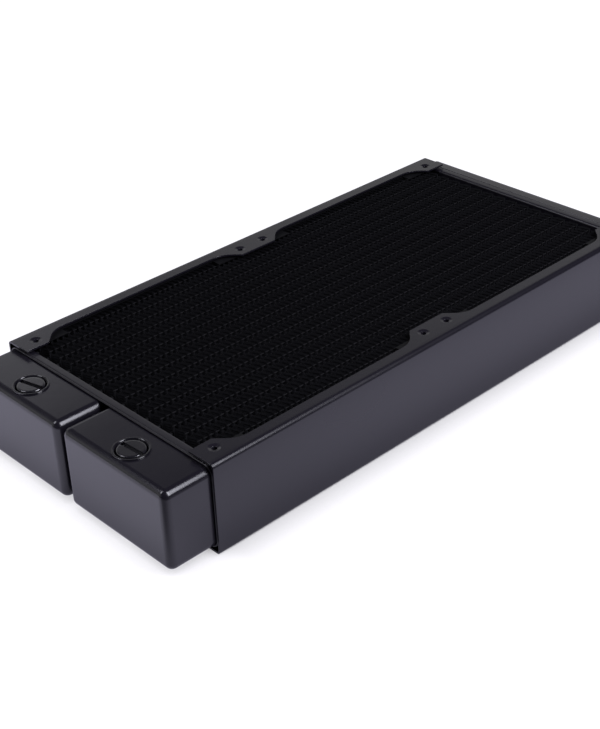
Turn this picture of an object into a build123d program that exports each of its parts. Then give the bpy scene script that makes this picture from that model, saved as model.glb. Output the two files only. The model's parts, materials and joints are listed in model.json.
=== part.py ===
"""Liquid cooling radiator for two 140 mm fans, laid flat, in millimetres.

+X runs along the length, from the two port tanks to the return tank, +Z is up, and the
origin is the middle of the lower fan-hole grid, on the face that the radiator rests on.
Coolant enters one port tank, runs through half of the flat tubes to the return tank, and
comes back through the other half to the other port tank.
"""
from build123d import *
import math
import os

os.makedirs("parts", exist_ok=True)

# ---- Fans that the radiator is made for ----
fan_size = 140.0          # side of one square fan
fan_count = 2
fan_hole_inset = 7.75     # from a fan's edge to the centre of its screw holes
fan_hole_r = 1.25         # tapped M3: wall of the tapping hole
fan_hole_dimple_r = 2.7   # mouth of the pressed dimple round each hole
fan_hole_dimple = 0.45    # depth of that dimple
fan_hole_collar_wall = 0.95
fan_hole_collar = 0.8     # how far the drawn collar stands behind the sheet

# ---- Side rails: folded C channels ----
rail_height = 45.0
rail_sheet = 1.0
rail_bend_r = 2.0         # outside of the fold
rail_side_margin = 1.5    # rail face beyond the fan's side
rail_end_margin = 1.0     # rail end beyond the fan's end
flange_depth = 7.1        # narrow stretch beside each fan, from the outer face
tab_past_hole_y = 5.65    # tab's inner edge, inward of its screw hole
tab_past_hole_x = 3.25    # tab's edge towards the fan's middle, from its screw hole
opening_round = 12.5      # rounded corner of each fan opening

# ---- Header plates: pressed trays that hold the tube ends ----
header_recess = 2.0       # tray rim below the rail's top, and above its bottom
header_sheet = 1.0
header_depth = 5.0        # from the tube plate's inner face to the end of its rim
header_bend_r = 1.2

# ---- Tanks: drawn shells that stand in the trays ----
tank_wall = 1.0
tank_edge_r = 3.5
tank_split = 3.2          # air between the two port tanks
return_tank_reach = 9.0   # beyond the rails
port_front_land = 2.8     # tank front to the port's collar
port_rear_land = 4.5      # port's collar to the tray rim

# ---- Core: flat tubes with folded fins between them ----
tubes_per_pass = 8
tube_thick = 1.8
tube_wall = 0.2
tube_edge_clear = 0.5     # tube edge to the tank's inner face
tube_past_plate = 1.5     # tube end inside the tank
fin_recess = 2.5          # fin edge below the rail's top, and above its bottom
fin_sheet = 0.1
fin_period = 25.4 / 8     # eight full waves, sixteen fins, to the inch
fin_fold_flat = 0.7       # flat of each fold, where it is brazed to a tube
fin_end_gap = 2.5         # least air between the last fold and the tube plate
side_plate_sheet = 0.8
side_plate_air = 2.6      # side plate to rail

# ---- Screw guards: strips under the flanges that stop long fan screws ----
guard_sheet = 0.5
guard_depth = 5.2         # narrow stretch, from the rail's inner face
guard_ear_depth = 10.5    # at the screw holes
guard_past_hole = 16.0    # ear's end, past the hole towards the fan's middle

# ---- Ports and plugs: G1/4 ----
port_bore_r = 5.9         # wall of the tapping hole
port_thread_pitch = 1.337
port_thread_length = 8.0
port_collar_wall = 1.0
port_collar_height = 0.6
port_body_step = 0.3      # collar's overhang round the hole in the tank
port_bore_past_plug = 0.4
port_bore_chamfer = 0.3
seal_cord = 1.6
seal_gap = 0.05           # free play of the seal in its groove
seat_gap = 0.1            # seal to the seat's wall
thread_gap = 0.05         # radial, plug to bore
plug_neck_step = 0.45     # groove for the seal, below the bore's radius
plug_head = 2.0
plug_head_chamfer = 0.35
plug_slot_width = 2.0
plug_slot_depth = 1.3
inlet_slot_turn = 7.0     # degrees from -Y towards +X
outlet_slot_turn = 13.0

# ---- Places that follow from the sizes above ----
rail_length = fan_count * fan_size + 2 * rail_end_margin
rail_end = rail_length / 2
rail_face = fan_size / 2 + rail_side_margin
rail_inner = rail_face - rail_sheet
fan_hole_y = fan_size / 2 - fan_hole_inset
tab_edge = fan_hole_y - tab_past_hole_y
opening_half = fan_hole_y - tab_past_hole_x
mid_height = rail_height / 2
plate_inner = rail_end - header_depth
plate_outer = plate_inner + header_sheet
rim_height = rail_height - 2 * header_recess
tank_height = rim_height - 2 * header_sheet
tank_side = rail_inner - header_sheet
tank_top = mid_height + tank_height / 2
tube_depth = tank_height - 2 * (tank_wall + tube_edge_clear)
tube_count = 2 * tubes_per_pass
core_half = rail_inner - side_plate_air - side_plate_sheet
tube_pitch = (core_half + tube_thick / 2) / ((tube_count + 1) / 2)
fin_height = tube_pitch - tube_thick
fin_depth = rail_height - 2 * fin_recess
fin_waves = math.floor(2 * (plate_inner - fin_end_gap) / fin_period)

neck_r = port_bore_r - plug_neck_step
seal_ring_r = neck_r + seal_gap + seal_cord / 2
seat_r = seal_ring_r + seal_cord / 2 + seat_gap
port_collar_r = seat_r + port_collar_wall
port_body_r = port_collar_r - port_body_step
port_top = tank_top + port_collar_height
groove_height = seal_cord + 2 * seal_gap
seat_floor = port_top - plug_head - groove_height
port_foot = seat_floor - port_thread_length - port_bore_past_plug
tank_front = rail_end + port_rear_land + 2 * port_collar_r + port_front_land
port_x = -(tank_front - port_front_land - port_collar_r)
port_y = (tank_split / 2 + tank_side) / 2


def box_between(x0, x1, y0, y1, z0, z1):
    """A box from its lowest to its highest corner."""
    middle = Pos((x0 + x1) / 2, (y0 + y1) / 2, (z0 + z1) / 2)
    return middle * Box(x1 - x0, y1 - y0, z1 - z0)


def fan_centres():
    """The X of each fan's middle."""
    first = -(fan_count - 1) / 2 * fan_size
    return [first + index * fan_size for index in range(fan_count)]


def fan_hole_xs():
    """The X of each screw hole along one rail."""
    half = fan_size / 2 - fan_hole_inset
    return [centre + side * half for centre in fan_centres() for side in (-1, 1)]


def post(x, y, radius, z0, z1):
    """An upright cylinder."""
    return Pos(x, y, (z0 + z1) / 2) * Cylinder(radius, z1 - z0)


def both_flanges(shape):
    """A shape made at the top flange, and its twin at the bottom flange."""
    return [shape, mirror(shape, about=Plane.XY.offset(mid_height))]


def fan_opening(centre):
    """Cutter for one fan's opening: straight side, 45 degree ends and rounded corners."""
    rise = rail_face - flange_depth - tab_edge
    reach = opening_half + rise
    top = opening_half - rise
    corners = [(-reach, tab_edge - rise), (-top, tab_edge + rise)]
    corners += [(top, tab_edge + rise), (reach, tab_edge - rise)]
    outline = Polyline(*corners, close=True)
    face = make_face(outline)
    upper = face.vertices().sort_by(Axis.Y)[-2:]
    face = fillet(upper, opening_round)
    return Pos(centre, 0, 0) * extrude(face, rail_height)


def side_rail():
    """The C channel on the +Y side, with its fan openings and drawn screw holes."""
    rail = box_between(-rail_end, rail_end, tab_edge, rail_face, 0, rail_height)
    hollow = box_between(-rail_end, rail_end, tab_edge, rail_inner, rail_sheet, rail_height - rail_sheet)
    inner_folds = hollow.edges().filter_by(Axis.X).sort_by(Axis.Y)[-2:]
    hollow = fillet(inner_folds, rail_bend_r - rail_sheet)
    outer_folds = rail.edges().filter_by(Axis.X).sort_by(Axis.Y)[-2:]
    rail = fillet(outer_folds, rail_bend_r) - hollow
    for centre in fan_centres():
        rail -= fan_opening(centre)
    under = rail_height - rail_sheet
    collar_r = fan_hole_r + fan_hole_collar_wall
    for x in fan_hole_xs():
        collar = post(x, fan_hole_y, collar_r, under - fan_hole_collar, under)
        hole = post(x, fan_hole_y, fan_hole_r, under - fan_hole_collar, rail_height)
        cone = Cone(fan_hole_r, fan_hole_dimple_r, fan_hole_dimple)
        dimple = Pos(x, fan_hole_y, rail_height - fan_hole_dimple / 2) * cone
        for shape in both_flanges(collar):
            rail += shape
        for shape in both_flanges(hole) + both_flanges(dimple):
            rail -= shape
    return rail


def screw_guard():
    """The strip over the core at the upper +Y flange, with an ear under each tab."""
    low = rail_height - fin_recess
    high = low + guard_sheet
    narrow_edge = rail_inner - guard_depth
    guard = box_between(-plate_inner, plate_inner, narrow_edge, rail_inner, low, high)
    for centre in fan_centres():
        for side in (-1, 1):
            ear = centre + side * (fan_size / 2 - fan_hole_inset - guard_past_hole)
            fan_edge = centre + side * fan_size / 2
            fan_edge = max(-plate_inner, min(plate_inner, fan_edge))
            start, end = sorted((ear, fan_edge))
            guard += box_between(start, end, rail_inner - guard_ear_depth, rail_inner, low, high)
    return guard


def header_plate():
    """The tray at the return end: a slotted tube plate with a rim that turns outwards."""
    z0 = mid_height - rim_height / 2
    z1 = mid_height + rim_height / 2
    tray = box_between(plate_inner, rail_end, -rail_inner, rail_inner, z0, z1)
    tray = fillet(tray.edges().filter_by(Axis.X), tank_edge_r + header_sheet)
    bend = tray.faces().sort_by(Axis.X)[0].edges()
    tray = fillet(bend, header_bend_r)
    seat = box_between(plate_outer, rail_end, -tank_side, tank_side, z0 + header_sheet, z1 - header_sheet)
    tray -= fillet(seat.edges().filter_by(Axis.X), tank_edge_r)
    for y in tube_ys():
        tray -= tube_bar(y, tube_thick, tube_depth, 0, rail_end)
    return tray


def tube_ys():
    """The Y of each flat tube, from the -Y side to the +Y side."""
    first = -(tube_count - 1) / 2 * tube_pitch
    return [first + index * tube_pitch for index in range(tube_count)]


def tube_bar(y, thick, depth, x0, x1):
    """A bar of the flat tube's section: straight sides and half-round edges."""
    section = Plane.YZ * SlotOverall(depth, thick, rotation=90)
    return Pos(x0, y, mid_height) * extrude(section, x1 - x0)


def flat_tube(y):
    """One hollow flat tube, open at both ends, through both tube plates."""
    end = plate_outer + tube_past_plate
    tube = tube_bar(y, tube_thick, tube_depth, -end, end)
    return tube - tube_bar(y, tube_thick - 2 * tube_wall, tube_depth - 2 * tube_wall, -end, end)


def cooling_fin(y):
    """One folded fin: a trapezium wave of thin sheet whose flats meet the tubes."""
    high = fin_height / 2
    outer = fin_fold_flat / 2
    run = fin_period / 2 - 2 * outer
    drop = fin_height - fin_sheet
    inner = outer - fin_sheet * (math.hypot(run, drop) - run) / drop
    start = -fin_waves * fin_period / 2
    upper = []
    lower = []
    for wave in range(fin_waves):
        crest = start + (wave + 0.25) * fin_period
        valley = crest + fin_period / 2
        upper += [(crest - outer, high), (crest + outer, high)]
        upper += [(valley - inner, fin_sheet - high), (valley + inner, fin_sheet - high)]
        lower += [(crest - inner, high - fin_sheet), (crest + inner, high - fin_sheet)]
        lower += [(valley - outer, -high), (valley + outer, -high)]
    wave_face = make_face(Polyline(*upper, *reversed(lower), close=True))
    return Pos(0, y, fin_recess) * extrude(wave_face, fin_depth)


def side_plate():
    """The flat plate that closes the core beside the outermost fin, on the +Y side."""
    return box_between(-plate_inner, plate_inner, core_half, core_half + side_plate_sheet,
                       fin_recess, rail_height - fin_recess)


def tank_shell(closed, seat, y0, y1):
    """A drawn tank between the X of its closed end and of its open end, on the tube plate."""
    z0 = mid_height - tank_height / 2
    z1 = mid_height + tank_height / 2
    lean = math.copysign(tank_wall, seat - closed)
    low, high = sorted((closed, seat))
    outer = rounded_tank(box_between(low, high, y0, y1, z0, z1), lean, tank_edge_r)
    low, high = sorted((closed + lean, seat))
    inner = box_between(low, high, y0 + tank_wall, y1 - tank_wall, z0 + tank_wall, z1 - tank_wall)
    return outer - rounded_tank(inner, lean, tank_edge_r - tank_wall)


def rounded_tank(block, lean, radius):
    """A block with every edge rounded but those of its open end."""
    faces = block.faces().sort_by(Axis.X)
    closed_face = faces[0] if lean > 0 else faces[-1]
    return fillet(block.edges().filter_by(Axis.X) + closed_face.edges(), radius)


def port_tank(side):
    """One of the two tanks with ports, at +Y for side 1 and at -Y for side -1."""
    y0, y1 = sorted((side * tank_split / 2, side * tank_side))
    tank = tank_shell(-tank_front, -plate_outer, y0, y1)
    return tank - post(port_x, side * port_y, port_body_r, 0, rail_height)


def port_bush(side):
    """The threaded bush in a tank's top: collar, seat for a seal, and bore."""
    y = side * port_y
    bush = post(port_x, y, port_collar_r, tank_top, port_top)
    bush += post(port_x, y, port_body_r, port_foot, tank_top)
    bush -= post(port_x, y, seat_r, seat_floor, port_top)
    bush -= post(port_x, y, port_bore_r, port_foot, seat_floor)
    lead = Cone(port_bore_r, port_bore_r + port_bore_chamfer, port_bore_chamfer)
    return bush - Pos(port_x, y, seat_floor - port_bore_chamfer / 2) * lead


def port_plug(side, turn):
    """The screw plug that closes a port: slotted head, groove for the seal, and shank."""
    y = side * port_y
    head = post(port_x, y, seal_ring_r, port_top - plug_head, port_top)
    head = chamfer(head.edges().sort_by(Axis.Z)[-1], plug_head_chamfer)
    slot_length = 2 * (seal_ring_r + thread_gap)
    slot = Rot(0, 0, turn - 90) * Box(slot_length, plug_slot_width, plug_slot_depth)
    head -= Pos(port_x, y, port_top - plug_slot_depth / 2) * slot
    neck = post(port_x, y, neck_r, seat_floor, port_top - plug_head)
    shank = post(port_x, y, port_bore_r - thread_gap, seat_floor - port_thread_length, seat_floor)
    return head + neck + shank


def plug_seal(side):
    """The rubber ring in the plug's groove."""
    height = seat_floor + seal_gap + seal_cord / 2
    return Pos(port_x, side * port_y, height) * Torus(seal_ring_r, seal_cord / 2)


def to_right(shape):
    """The twin of a +Y piece on the -Y side."""
    return mirror(shape, about=Plane.XZ)


def to_bottom(shape):
    """The twin of a top piece at the bottom."""
    return mirror(shape, about=Plane.XY.offset(mid_height))


nodes = {}
nodes["side_rail_left"] = side_rail()
nodes["side_rail_right"] = to_right(nodes["side_rail_left"])
nodes["side_plate_left"] = side_plate()
nodes["side_plate_right"] = to_right(nodes["side_plate_left"])
nodes["screw_guard_top_left"] = screw_guard()
nodes["screw_guard_top_right"] = to_right(nodes["screw_guard_top_left"])
nodes["screw_guard_bottom_left"] = to_bottom(nodes["screw_guard_top_left"])
nodes["screw_guard_bottom_right"] = to_right(nodes["screw_guard_bottom_left"])
nodes["header_plate_rear"] = header_plate()
nodes["header_plate_front"] = mirror(nodes["header_plate_rear"], about=Plane.YZ)
nodes["return_tank"] = tank_shell(rail_end + return_tank_reach, plate_outer, -tank_side, tank_side)
for name, side, turn in (("inlet", -1, inlet_slot_turn), ("outlet", 1, outlet_slot_turn)):
    nodes[name + "_tank"] = port_tank(side)
    nodes[name + "_port_top"] = port_bush(side)
    nodes[name + "_port_bottom"] = to_bottom(nodes[name + "_port_top"])
    nodes[name + "_plug"] = port_plug(side, turn)
    nodes[name + "_plug_seal"] = plug_seal(side)
for index, y in enumerate(tube_ys(), start=1):
    nodes[f"flat_tube_{index:02d}"] = flat_tube(y)
fin_first = -tube_count / 2 * tube_pitch
for index in range(tube_count + 1):
    nodes[f"cooling_fin_{index + 1:02d}"] = cooling_fin(fin_first + index * tube_pitch)

for name, shape in nodes.items():
    export_step(shape, f"parts/{name}.step", write_pcurves=False)
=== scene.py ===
"""Dresses a packed liquid cooling radiator: painted skins, folded fins, ports, plugs and a studio."""
import json
import math
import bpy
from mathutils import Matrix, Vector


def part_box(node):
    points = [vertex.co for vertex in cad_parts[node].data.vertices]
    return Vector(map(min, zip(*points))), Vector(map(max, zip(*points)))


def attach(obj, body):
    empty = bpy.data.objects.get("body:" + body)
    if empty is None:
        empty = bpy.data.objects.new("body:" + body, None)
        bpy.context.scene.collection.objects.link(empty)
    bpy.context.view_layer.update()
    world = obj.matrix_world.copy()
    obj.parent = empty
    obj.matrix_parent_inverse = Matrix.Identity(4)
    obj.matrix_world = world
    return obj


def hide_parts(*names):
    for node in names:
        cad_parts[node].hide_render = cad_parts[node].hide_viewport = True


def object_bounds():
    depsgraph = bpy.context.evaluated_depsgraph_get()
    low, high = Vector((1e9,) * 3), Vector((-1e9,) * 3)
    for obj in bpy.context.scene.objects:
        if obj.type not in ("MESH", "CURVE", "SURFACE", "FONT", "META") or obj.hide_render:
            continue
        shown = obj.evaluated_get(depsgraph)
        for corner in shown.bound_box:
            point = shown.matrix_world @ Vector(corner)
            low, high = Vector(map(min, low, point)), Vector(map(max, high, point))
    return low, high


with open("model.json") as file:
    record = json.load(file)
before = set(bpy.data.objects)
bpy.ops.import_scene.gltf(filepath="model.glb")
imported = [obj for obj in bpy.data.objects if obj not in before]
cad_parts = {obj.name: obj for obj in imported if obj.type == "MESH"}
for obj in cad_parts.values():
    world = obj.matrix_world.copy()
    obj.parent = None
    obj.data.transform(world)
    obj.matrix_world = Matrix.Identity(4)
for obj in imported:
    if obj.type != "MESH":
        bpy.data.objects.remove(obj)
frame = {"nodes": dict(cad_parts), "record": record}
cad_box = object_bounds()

from types import SimpleNamespace

import bmesh
import bpy
import numpy as np
from bpy.props import FloatProperty, FloatVectorProperty, IntProperty, PointerProperty
from mathutils import Matrix, Vector

bl_info = {
    "name": "Radiator Dresser",
    "version": (1, 0, 0),
    "blender": (4, 5, 0),
    "location": "3D View > Sidebar > Radiator",
    "description": "Builds the painted skins, fins, ports, plugs and studio of a liquid cooling radiator",
    "category": "Object",
}

MM = 0.001
MOUNTS = {mount["name"]: mount for mount in frame["record"]["mounts"]}
FANS = [mount for name, mount in MOUNTS.items() if name.startswith("fan_top")]
FAN_X = sorted(fan["pos_m"][0] for fan in FANS)
HOLE_Y = FANS[0]["dims"]["spacing_x_mm"] / 2 * MM   # half the side of a fan's square of screw holes
HOLE_X = [x + sign * HOLE_Y for x in FAN_X for sign in (-1, 1)]
HOLE_R = FANS[0]["dims"]["hole_r_mm"] * MM


# ---- sizes and colours ----

def length(name, description, millimetres):
    """A length property whose default is given in millimetres."""
    return FloatProperty(name=name, description=description, default=millimetres * MM, min=0.0,
                         unit="LENGTH", precision=5)


def angle(name, description, degrees):
    """An angle property whose default is given in degrees."""
    return FloatProperty(name=name, description=description, default=math.radians(degrees), subtype="ANGLE")


def colour(name, description, value):
    """A linear colour property."""
    return FloatVectorProperty(name=name, description=description, default=value, min=0.0, max=1.0,
                               size=3, subtype="COLOR")


def strength(name, description, value):
    """A property for a light's or a shade's strength."""
    return FloatProperty(name=name, description=description, default=value, min=0.0)


class RadiatorRailSizes(bpy.types.PropertyGroup):
    sheet: length("Sheet", "Thickness of the folded sheet", 1.0)
    bend: length("Bend", "Outer radius of the folds", 2.0)
    tab_past_hole: length("Tab past hole", "From a screw hole to the tab's edge across the rail", 5.65)
    tab_side: length("Tab side", "From a screw hole to the tab's edge along the rail", 3.25)
    flange: length("Flange", "Depth of the narrow flange beside a fan", 7.1)
    opening_round: length("Opening round", "Radius of each rounded corner of a fan opening", 12.5)
    dimple: length("Dimple", "Radius of the pressed dimple round a screw hole", 2.8)
    dimple_round: length("Dimple round", "Width of the soft edge where a dimple starts", 0.2)
    dimple_depth: length("Dimple depth", "How far the screw hole's edge lies below the face", 0.45)
    hole_round: length("Hole round", "Radius of the edge between the dimple and the hole", 0.12)
    collar: length("Collar", "How deep the drawn screw hole is, from the face", 1.8)
    edge: length("Edge", "Softness of the sheet's cut edges", 0.12)


class RadiatorTankSizes(bpy.types.PropertyGroup):
    wall: length("Wall", "Thickness of the drawn tanks", 1.0)
    edge_round: length("Edge round", "Outer radius of the tanks' edges", 3.5)
    tray_sheet: length("Tray sheet", "Thickness of the header plates", 1.0)
    tray_seam: length("Tray seam", "Gap left between a tray's rim and the tank inside it", 0.25)
    bead: length("Bead", "Width of the bead at the rim's end", 0.75)
    groove: length("Groove", "Width of the pressed groove behind the bead", 0.6)
    groove_depth: length("Groove depth", "Depth of that groove", 0.35)
    crown: length("Crown", "Radius of the slow curve of a rim's face behind the groove", 60.0)
    tray_bend: length("Tray bend", "Outer radius between a rim's face and the plate", 1.2)
    port_window: length("Port window", "Half the side of the patch of sheet round a port", 7.4)
    port_hole: length("Port hole", "Radius of the hole in the sheet under a port's collar", 7.0)


class RadiatorPortSizes(bpy.types.PropertyGroup):
    pitch: length("Thread pitch", "Rise of the thread in one turn", 1.337)
    bore_crest: length("Bore crest", "Inner radius of the port's thread", 5.75)
    bore_root: length("Bore root", "Outer radius of the port's thread", 6.55)
    play: length("Play", "Radial play between plug and port", 0.06)
    collar_wall: length("Collar wall", "Width of the collar's top", 1.0)
    collar_height: length("Collar height", "How far the collar stands above the tank", 0.6)
    collar_round: length("Collar round", "Radius of the collar's inner edge, twice its outer one's", 0.45)
    body_step: length("Body step", "How far the collar overhangs the bush's body", 0.3)
    slot_width: length("Slot width", "Width of a plug's slot", 2.2)
    slot_depth: length("Slot depth", "Depth of a plug's slot", 1.6)
    inlet_slot: angle("Inlet slot", "Turn of the inlet plug's slot from the radiator's length", -86.5)
    outlet_slot: angle("Outlet slot", "Turn of the outlet plug's slot from the radiator's length", -76)
    head: length("Head", "Height of a plug's head", 2.0)
    head_round: length("Head round", "Radius of the upper edge round a plug's head", 0.6)
    seal: length("Seal", "Thickness of the seal ring's cord", 1.6)
    seal_gap: length("Seal gap", "Play between a seal and what it rests on", 0.05)
    lead_in: length("Lead-in", "Width of the chamfers at the thread's and the bush's ends", 0.15)


class RadiatorFinSizes(bpy.types.PropertyGroup):
    period: length("Period", "Length of one whole fold along the radiator", 3.175)
    sheet: length("Fin sheet", "Thickness of the fins", 0.1)
    fold: length("Fold", "Radius of the middle of the sheet at each fold", 0.55)
    flat: length("Flat", "Width of a fold where it meets a tube", 0.7)
    bead_long: length("Bead length", "Half the length of a bead of solder beside a fold", 1.5)
    bead_wide: length("Bead width", "Half the width of a bead of solder", 0.36)
    bead_high: length("Bead height", "Half the height of a bead of solder", 0.17)
    louvre: length("Louvre", "Width of one louvre", 1.15)
    louvre_pitch: length("Louvre pitch", "From one louvre to the next", 1.3)
    louvre_rows: IntProperty(name="Louvre rows", description="Rows of louvres behind each face of the core",
                             default=4, min=1)
    louvre_tilt: angle("Louvre tilt", "Turn of a louvre out of the sheet", 24)


class RadiatorFinish(bpy.types.PropertyGroup):
    paint: colour("Paint", "Semi-gloss black of the rails and tanks", (0.0098, 0.0088, 0.0132))
    solder_paint: colour("Solder", "Painted beads of solder beside the tubes", (0.0120, 0.0118, 0.0130))
    core_paint: colour("Core paint", "Thin black of the fins and tubes", (0.0062, 0.0062, 0.0070))
    port_black: colour("Port black", "Gloss black of the bushes and plugs", (0.0085, 0.0080, 0.0110))
    rubber: colour("Rubber", "Black of the seals", (0.008, 0.008, 0.008))
    floor: colour("Floor", "Floor under its glow", (0.06, 0.06, 0.06))
    # high_key to contact_reach paint light and shade on the floor: a pool of glow for the paint to reflect,
    # painted shade where it drops by the rails and where walls hide the sky, and a painted contact shadow,
    # painted lighter by the port tanks, on the floor the camera sees
    high_key: strength("High key", "Glow of the floor as the camera sees it", 1.02)
    glow: strength("Glow", "Glow of the floor beside the rails", 0.79)
    port_end: strength("Port end", "How much that glow drops towards the rails' port end", 0.09)
    foot: strength("Foot", "How much that glow drops next to the rails", 0.3)
    left_glow: strength("Left glow", "Glow of the floor beside the port tanks", 1.04)
    corner_glow: strength("Corner glow", "Glow of the floor off the near corner", 0.25)
    tank_light: strength("Tank light", "How much lighter the floor looks by the port tanks", 0.27)
    contact: strength("Contact", "Half of how much the glow dims where a wall hides the sky", 0.36)
    contact_reach: length("Contact reach", "How far from a wall the floor is dimmed", 18.0)


class RadiatorStudio(bpy.types.PropertyGroup):
    aim: FloatVectorProperty(name="Aim", description="Point that the camera looks at", size=3,
                             default=(-0.0406, -0.0149, 0.023), subtype="XYZ", unit="LENGTH")
    distance: length("Distance", "From the camera to that point", 650.0)
    azimuth: angle("Azimuth", "Turn of the camera about the upright axis", -42.52)
    elevation: angle("Elevation", "Height of the camera above the horizon", 31.32)
    roll: angle("Roll", "Turn of the camera about its own line of sight", -2.39)
    lens: FloatProperty(name="Lens", description="Focal length for a 36 mm long side", default=68.8)


GROUPS = {
    "radiator_rail": RadiatorRailSizes,
    "radiator_tank": RadiatorTankSizes,
    "radiator_port": RadiatorPortSizes,
    "radiator_fin": RadiatorFinSizes,
    "radiator_finish": RadiatorFinish,
    "radiator_studio": RadiatorStudio,
}


# ---- surfaces ----

def weave(rows, cols, wrap_rows=False, wrap_cols=False):
    """Quads of a grid whose point in row i and column j is number i * cols + j.

    Wrapping joins the last row or column to the first.
    """
    i, j = np.meshgrid(np.arange(rows if wrap_rows else rows - 1),
                       np.arange(cols if wrap_cols else cols - 1), indexing="ij")
    i, j = i.ravel(), j.ravel()
    below, beside = (i + 1) % rows, (j + 1) % cols
    return np.stack([i * cols + j, below * cols + j, below * cols + beside, i * cols + beside], axis=1)


def lofted(sections):
    """The surface through a row of closed outlines with equally many points."""
    points = np.array(sections)
    return points.reshape(-1, 3), weave(len(points), points.shape[1], wrap_cols=True)


def joined(surfaces):
    """One list of points and one of quads from several (points, quads) pairs."""
    starts = np.cumsum([0] + [len(points) for points, _ in surfaces[:-1]])
    points = np.concatenate([points for points, _ in surfaces])
    quads = np.concatenate([quads + start for (_, quads), start in zip(surfaces, starts)])
    return points, quads


def crossed(*parts):
    """Points of a grid from the arrays of their coordinates, each spread over the whole grid."""
    return np.stack(np.broadcast_arrays(*parts), axis=-1)


def arc(centre, radius, start, end, steps):
    """Points at equal angles on a circle's arc: centre plus radius times (cosine, sine)."""
    angles = np.linspace(math.radians(start), math.radians(end), steps + 1)
    return np.stack([centre[0] + radius * np.cos(angles), centre[1] + radius * np.sin(angles)], axis=1)


def raised(outline, height):
    """An outline of (x, y) points, placed at z = height."""
    return np.column_stack([outline, np.full(len(outline), height)])


def window_patch(half, rings, steps):
    """A square patch with a round hole, as rows of points that close on themselves.

    The outermost row runs round a square of the given half side at equal steps, the rows
    inside it are circles of the given (radius, depth), and each point keeps its direction from
    the middle. Returned as (across, along, depth), with the middle at zero.
    """
    side = np.linspace(-1, 1, steps + 1)[:-1]
    square = np.concatenate([crossed(side, -1.0), crossed(1.0, side)])
    square = np.concatenate([square, -square])
    unit = square / np.linalg.norm(square, axis=1)[:, None]
    rows = [(square * half, 0.0), ((square * half + unit * rings[0][0]) / 2, 0.0)]
    rows += [(unit * radius, depth) for radius, depth in rings]
    return lofted([raised(*row) for row in rows])


def pierced(points, quads, places, window, rings, steps):
    """A sheet with two faces, each with a patch from window_patch() round every (x, y) place.

    The quads of the sheet whose middles lie in a window are left out. The patches stand at its
    highest points and, turned over, at its lowest.
    """
    middle = points[quads].mean(axis=1)
    keep = np.ones(len(quads), bool)
    patch, patch_quads = window_patch(window, rings, steps)
    patches = []
    for x, y in places:
        keep &= (np.abs(middle[:, 0] - x) > window) | (np.abs(middle[:, 1] - y) > window)
        patches += [(patch + (x, y, points[:, 2].max()), patch_quads),
                    (patch * (1, 1, -1) + (x, y, points[:, 2].min()), patch_quads[:, ::-1])]
    return [(points, quads[keep])] + patches


def lathe(profile, segments, twist=None, closed=False):
    """A profile of (radius, height) turned about the upright axis.

    twist, if given, is a function of angle, radius and height that returns a new radius, so that
    a thread's ridge climbs as it goes round. A closed profile joins its last point to its first.
    """
    turn = np.linspace(0, 2 * math.pi, segments, endpoint=False)
    radius, height = (np.repeat(profile[:, k:k + 1], segments, axis=1) for k in (0, 1))
    if twist is not None:
        radius = twist(turn[None, :], radius, height)
    points = crossed(radius * np.cos(turn), radius * np.sin(turn), height)
    return points.reshape(-1, 3), weave(len(profile), segments, wrap_rows=closed, wrap_cols=True)


def rounded_outline(half_width, half_height, radius, across, steps=8):
    """A rectangle with rounded corners, counter-clockwise from its lower left corner's end.

    across holds the fractions, from -1 to 1, at which the two long straight sides are cut, so
    that cut lines can be lined up with a window. A radius of zero leaves square corners. The
    second half of the outline is the first one turned half round.
    """
    x, y = half_width - radius, half_height - radius
    half = np.concatenate([
        crossed(across * x, -half_height)[:-1], arc((x, -y), radius, -90, 0, steps),
        crossed(half_width, np.linspace(-y, y, 7)[1:-1]), arc((x, y), radius, 0, 90, steps)[:-1]])
    return np.concatenate([half, -half])


def section(depth, outline):
    """An outline of (y, z) points, placed at x = depth."""
    return np.column_stack([np.full(len(outline), depth), outline])


def drawn_shell(half, radius, across, depths, end, lean, steps=8):
    """A drawn box, open at one end: straight walls, a rounded turn, and a flat closed end.

    The section is a rounded rectangle. Along the turn its inset is the radius times one minus
    the cosine of the angle turned, while the depth falls short of the closed end by the radius
    times one minus the sine. The closed end shrinks to a line. lean is the sign of the way from
    the open end to the closed one.
    """
    rows = [(depth, 0.0) for depth in depths]
    rows += [(end - lean * radius * (1 - math.sin(turn)), radius * (1 - math.cos(turn)))
             for turn in np.linspace(0, math.pi / 2, steps + 1)[1:]]
    sections = [section(depth, rounded_outline(half.y - inset, half.z - inset,
                                               max(radius - inset, 0.0), across)) for depth, inset in rows]
    return lofted(sections + [sections[-1] * (1, 1, shrink) for shrink in (0.6, 0.0)])


# ---- making pieces ----

def nodes_named(*starts):
    """Names of the frame's nodes that start in one of these ways, in order."""
    return sorted(name for name in frame["nodes"] if name.startswith(starts))


def placed(name, data):
    """A new object in the scene."""
    made = bpy.data.objects.new(name, data)
    bpy.context.scene.collection.objects.link(made)
    return made


def make_piece(name, surface, paint, body, stands_for=(), sharp=40.0):
    """Puts (points, quads) into a new mesh, merges what meets, and gives it a finish and a body."""
    points, quads = surface
    mesh = bpy.data.meshes.new(name)
    mesh.from_pydata(points.reshape(-1, 3).tolist(), [], quads.tolist())
    mesh.update()
    piece = placed(name, mesh)
    weld(mesh)
    mesh.shade_smooth()
    mesh.set_sharp_from_angle(angle=math.radians(sharp))
    mesh.materials.append(finish(paint))
    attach(piece, body)
    if stands_for:
        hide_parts(*stands_for)
    return piece


def weld(mesh, reach=2e-6):
    """Merges points that meet and drops faces that have no area."""
    work = bmesh.new()
    work.from_mesh(mesh)
    bmesh.ops.remove_doubles(work, verts=work.verts, dist=reach)
    bmesh.ops.dissolve_degenerate(work, dist=reach, edges=work.edges)
    work.to_mesh(mesh)
    work.free()


def add_modifier(piece, name, kind, **settings):
    """A modifier with its settings."""
    made = piece.modifiers.new(name, kind)
    for key, value in settings.items():
        setattr(made, key, value)


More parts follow.
